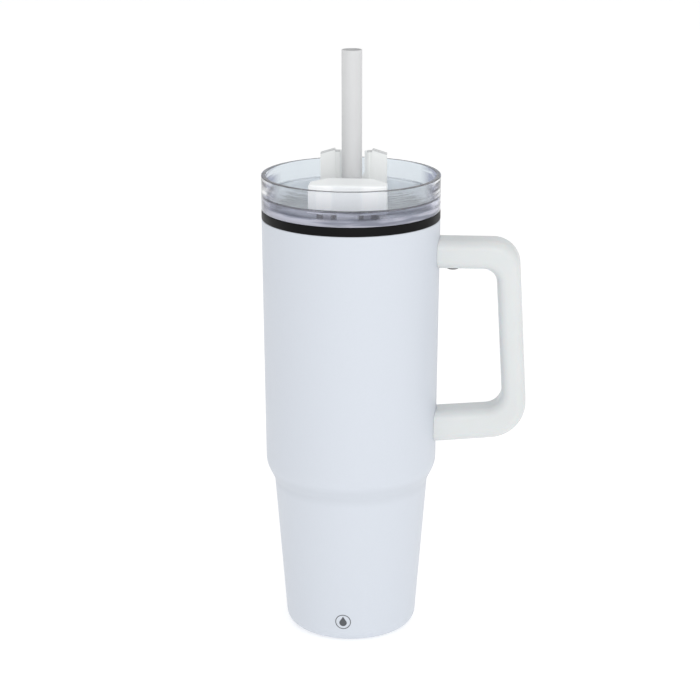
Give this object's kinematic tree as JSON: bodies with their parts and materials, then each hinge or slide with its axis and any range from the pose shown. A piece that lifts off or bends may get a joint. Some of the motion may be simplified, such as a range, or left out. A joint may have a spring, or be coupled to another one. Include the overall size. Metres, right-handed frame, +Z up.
{
  "type": "insulated tumbler with lid",
  "caption": "Double-walled steel tumbler with a stepped cup-holder base, side handle, clear press-in lid, sliding drink closure, flip straw lock and straw.",
  "frame": {"origin": "centre of the base on the cup's axis, in the plane it stands on", "axes": "+Z up along the cup's axis, +X towards the handle, -Y towards the drinking slot"},
  "size_m": [0.1465, 0.098, 0.3273],
  "materials": {
    "powder_coat": "fine satin powder coat, cool white",
    "steel": "brushed stainless",
    "foil": "bright wrapped foil",
    "sealing_glass": "fused bead",
    "getter_metal": "dull sintered",
    "handle_plastic": "satin gloss moulded white",
    "screw_steel": "blackened",
    "clear_plastic": "polished clear copolyester",
    "black_silicone": "matt silicone",
    "clear_silicone": "translucent silicone",
    "lid_plastic": "satin moulded white",
    "straw_plastic": "frosted translucent"
  },
  "bodies": {
    "cup": {"outer_shell": "powder_coat", "inner_liner": "steel", "insulating_foil": "foil", "bottom_pan": "steel", "vacuum_port_bead": "sealing_glass", "getter": "getter_metal", "base_cover": "powder_coat", "handle_front_half": "handle_plastic", "handle_rear_half": "handle_plastic", "handle_bracket_upper": "steel", "handle_bracket_lower": "steel", "handle_screws": "screw_steel"},
    "lid": {"lid_body": "clear_plastic", "lid_seal": "black_silicone", "straw_grommet": "clear_silicone", "hinge_base": "lid_plastic", "flap_hinge_pin": "steel"},
    "slider": {"slider_block": "lid_plastic", "slider_gasket": "clear_silicone", "slider_retainer": "lid_plastic"},
    "flap": {"flap": "lid_plastic", "flap_liner": "clear_silicone"},
    "straw": {"straw": "straw_plastic"}
  },
  "joints": [
    {"name": "lid_lift", "type": "slide", "parent": "cup", "child": "lid", "axis": [0, 0, 1], "range_m": [0, 0.24]},
    {"name": "drink_slide", "type": "slide", "parent": "lid", "child": "slider", "axis": [0, -1, 0], "range_m": [0, 0.01]},
    {"name": "flap_hinge", "type": "hinge", "parent": "lid", "child": "flap", "pos_m": [0, 0.0195, 0.246], "axis": [1, 0, 0], "range_deg": [0, 90]},
    {"name": "straw_lift", "type": "slide", "parent": "lid", "child": "straw", "axis": [0, 0, 1], "range_m": [0, 0.31]}
  ]
}
